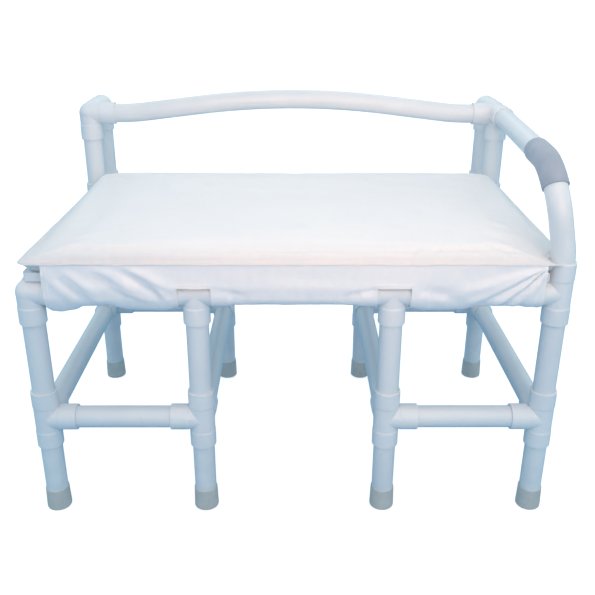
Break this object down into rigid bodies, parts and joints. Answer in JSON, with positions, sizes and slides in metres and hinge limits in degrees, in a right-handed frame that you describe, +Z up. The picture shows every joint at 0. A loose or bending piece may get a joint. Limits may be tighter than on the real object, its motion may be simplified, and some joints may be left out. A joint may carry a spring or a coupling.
{
  "type": "bath transfer bench",
  "caption": "Transfer bench of white PVC pipe that straddles a tub wall, with a padded seat, a curved backrest rail and one bent armrest.",
  "frame": {"origin": "on the floor, under the middle of the overall box", "axes": "+Z up, +X to the armrest end (right, seen from the front), +Y from the front of the seat to the backrest"},
  "size_m": [1.0018, 0.7146, 0.7454],
  "materials": {
    "pvc_pipe": "satin white furniture-grade PVC pipe",
    "pvc_fitting": "gloss white injection-moulded PVC",
    "rubber_tip": "matte grey rubber",
    "foam_grip": "matte blue-grey cellular vinyl sleeve",
    "seat_board": "white foamed PVC board",
    "cushion_cover": "white vinyl-coated fabric, soft matte",
    "cushion_foam": "open-cell foam core",
    "screw_steel": "stainless steel",
    "press_stud": "nickel-plated press stud"
  },
  "bodies": {
    "root": {"armrest_grip": "foam_grip", "armrest_tube": "pvc_pipe", "back_rail": "pvc_pipe", "coupling_nipples": "pvc_pipe", "cushion_cover": "cushion_cover", "cushion_foam": "cushion_foam", "flap_studs": "press_stud", "front_flap": "cushion_cover", "front_left_crossbar": "pvc_pipe", "front_left_inner_crossbar_fitting": "pvc_fitting", "front_left_inner_seat_fitting": "pvc_fitting", "front_left_outer_crossbar_fitting": "pvc_fitting", "front_left_outer_seat_fitting": "pvc_fitting", "front_left_seat_rail": "pvc_pipe", "front_middle_seat_rail": "pvc_pipe", "front_right_crossbar": "pvc_pipe", "front_right_inner_crossbar_fitting": "pvc_fitting", "front_right_inner_seat_fitting": "pvc_fitting", "front_right_outer_crossbar_fitting": "pvc_fitting", "front_right_outer_seat_fitting": "pvc_fitting", "front_right_seat_rail": "pvc_pipe", "left_back_post": "pvc_pipe", "left_back_top_fitting": "pvc_fitting", "left_brace_foot_elbow": "pvc_fitting", "left_brace_post": "pvc_pipe", "left_brace_top_elbow": "pvc_fitting", "left_inner_side_crossbar": "pvc_pipe", "left_inner_side_seat_rail": "pvc_pipe", "left_lower_legs": "pvc_pipe", "left_outer_side_crossbar": "pvc_pipe", "left_outer_side_seat_rail": "pvc_pipe", "left_upper_legs": "pvc_pipe", "rear_flap": "cushion_cover", "rear_left_crossbar": "pvc_pipe", "rear_left_inner_crossbar_fitting": "pvc_fitting", "rear_left_inner_seat_fitting": "pvc_fitting", "rear_left_outer_crossbar_fitting": "pvc_fitting", "rear_left_outer_seat_fitting": "pvc_fitting", "rear_left_seat_rail": "pvc_pipe", "rear_middle_seat_rail": "pvc_pipe", "rear_right_crossbar": "pvc_pipe", "rear_right_inner_crossbar_fitting": "pvc_fitting", "rear_right_inner_seat_fitting": "pvc_fitting", "rear_right_outer_crossbar_fitting": "pvc_fitting", "rear_right_outer_seat_fitting": "pvc_fitting", "rear_right_seat_rail": "pvc_pipe", "right_back_post": "pvc_pipe", "right_back_top_fitting": "pvc_fitting", "right_brace_foot_elbow": "pvc_fitting", "right_brace_post": "pvc_pipe", "right_brace_top_elbow": "pvc_fitting", "right_inner_side_crossbar": "pvc_pipe", "right_inner_side_seat_rail": "pvc_pipe", "right_lower_legs": "pvc_pipe", "right_outer_side_crossbar": "pvc_pipe", "right_outer_side_seat_rail": "pvc_pipe", "right_upper_legs": "pvc_pipe", "rubber_tips": "rubber_tip", "seat_board": "seat_board", "seat_screws": "screw_steel"}
  },
  "joints": []
}
